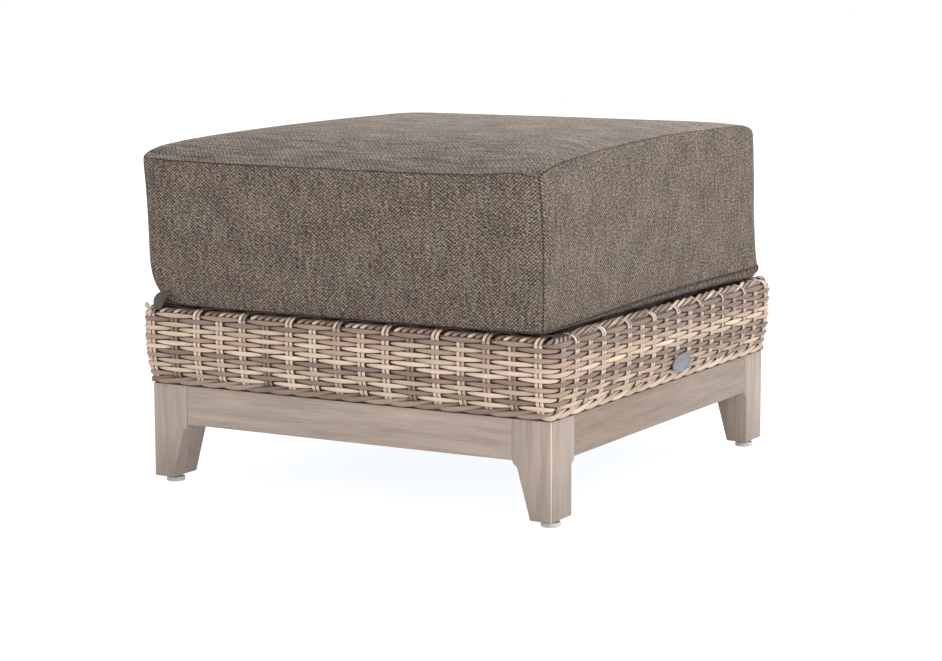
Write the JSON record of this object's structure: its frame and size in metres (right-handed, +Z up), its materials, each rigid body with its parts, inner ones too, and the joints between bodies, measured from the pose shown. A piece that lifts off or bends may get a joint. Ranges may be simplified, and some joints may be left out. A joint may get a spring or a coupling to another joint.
{
  "type": "outdoor ottoman",
  "caption": "Low woven outdoor ottoman with a loose thick cushion on a slatted deck, a wicker skirt and tapered legs with screw-in glides.",
  "frame": {"origin": "on the floor, under the middle of the frame", "axes": "+Z up, -Y towards the wide front, +X towards the side with the oval plate"},
  "size_m": [0.6234, 0.6654, 0.467],
  "materials": {
    "coated_aluminium": "satin powder coat",
    "tube_aluminium": "satin",
    "wicker_strand": "matte, melange",
    "cushion_fabric": "melange weave",
    "cushion_foam": "open foam",
    "glide_nylon": "smooth",
    "zinc_steel": "zinc plated",
    "pewter_plate": "pewter grey",
    "dark_webbing": "woven"
  },
  "bodies": {
    "frame": {"apron_back": "coated_aluminium", "apron_front": "coated_aluminium", "apron_left": "coated_aluminium", "apron_right": "coated_aluminium", "bottom_rail_back": "tube_aluminium", "bottom_rail_front": "tube_aluminium", "bottom_rail_left": "tube_aluminium", "bottom_rail_right": "tube_aluminium", "braid_back": "wicker_strand", "braid_front": "wicker_strand", "braid_left": "wicker_strand", "braid_right": "wicker_strand", "corner_plate_back_left": "tube_aluminium", "corner_plate_back_right": "tube_aluminium", "corner_plate_front_left": "tube_aluminium", "corner_plate_front_right": "tube_aluminium", "deck_slat_1": "tube_aluminium", "deck_slat_2": "tube_aluminium", "deck_slat_3": "tube_aluminium", "deck_slat_4": "tube_aluminium", "deck_slat_5": "tube_aluminium", "leg_back_left": "coated_aluminium", "leg_back_right": "coated_aluminium", "leg_front_left": "coated_aluminium", "leg_front_right": "coated_aluminium", "oval_plate": "pewter_plate", "post_back_left": "tube_aluminium", "post_back_right": "tube_aluminium", "post_front_left": "tube_aluminium", "post_front_right": "tube_aluminium", "rim_back": "wicker_strand", "rim_front": "wicker_strand", "rim_left": "wicker_strand", "rim_right": "wicker_strand", "top_rail_back": "tube_aluminium", "top_rail_front": "tube_aluminium", "top_rail_left": "tube_aluminium", "top_rail_right": "tube_aluminium", "weave_back": "wicker_strand", "weave_front": "wicker_strand", "weave_left": "wicker_strand", "weave_right": "wicker_strand"},
    "cushion": {"cushion_core": "cushion_foam", "cushion_cover": "cushion_fabric", "strap_back_right": "dark_webbing", "strap_front_left": "dark_webbing", "zip_tape": "dark_webbing"},
    "zip_slider": {"zip_slider": "zinc_steel"},
    "zip_pull": {"zip_pull": "zinc_steel"},
    "glide_front_left": {"glide_pad_front_left": "glide_nylon", "glide_stud_front_left": "zinc_steel"},
    "glide_front_right": {"glide_pad_front_right": "glide_nylon", "glide_stud_front_right": "zinc_steel"},
    "glide_back_right": {"glide_pad_back_right": "glide_nylon", "glide_stud_back_right": "zinc_steel"},
    "glide_back_left": {"glide_pad_back_left": "glide_nylon", "glide_stud_back_left": "zinc_steel"}
  },
  "joints": [
    {"name": "cushion_lift", "type": "slide", "parent": "frame", "child": "cushion", "axis": [0, 0, 1], "range_m": [0, 0.3]},
    {"name": "zip_slide", "type": "slide", "parent": "cushion", "child": "zip_slider", "axis": [-1, 0, 0], "range_m": [0, 0.41]},
    {"name": "zip_pull_swing", "type": "hinge", "parent": "zip_slider", "child": "zip_pull", "pos_m": [0.2, 0.317, 0.354], "axis": [0, 0, 1], "range_deg": [0, 170]},
    {"name": "glide_front_left_screw", "type": "slide", "parent": "frame", "child": "glide_front_left", "axis": [0, 0, -1], "range_m": [-0.0035, 0.008]},
    {"name": "glide_front_right_screw", "type": "slide", "parent": "frame", "child": "glide_front_right", "axis": [0, 0, -1], "range_m": [-0.0035, 0.008]},
    {"name": "glide_back_right_screw", "type": "slide", "parent": "frame", "child": "glide_back_right", "axis": [0, 0, -1], "range_m": [-0.0035, 0.008]},
    {"name": "glide_back_left_screw", "type": "slide", "parent": "frame", "child": "glide_back_left", "axis": [0, 0, -1], "range_m": [-0.0035, 0.008]}
  ]
}
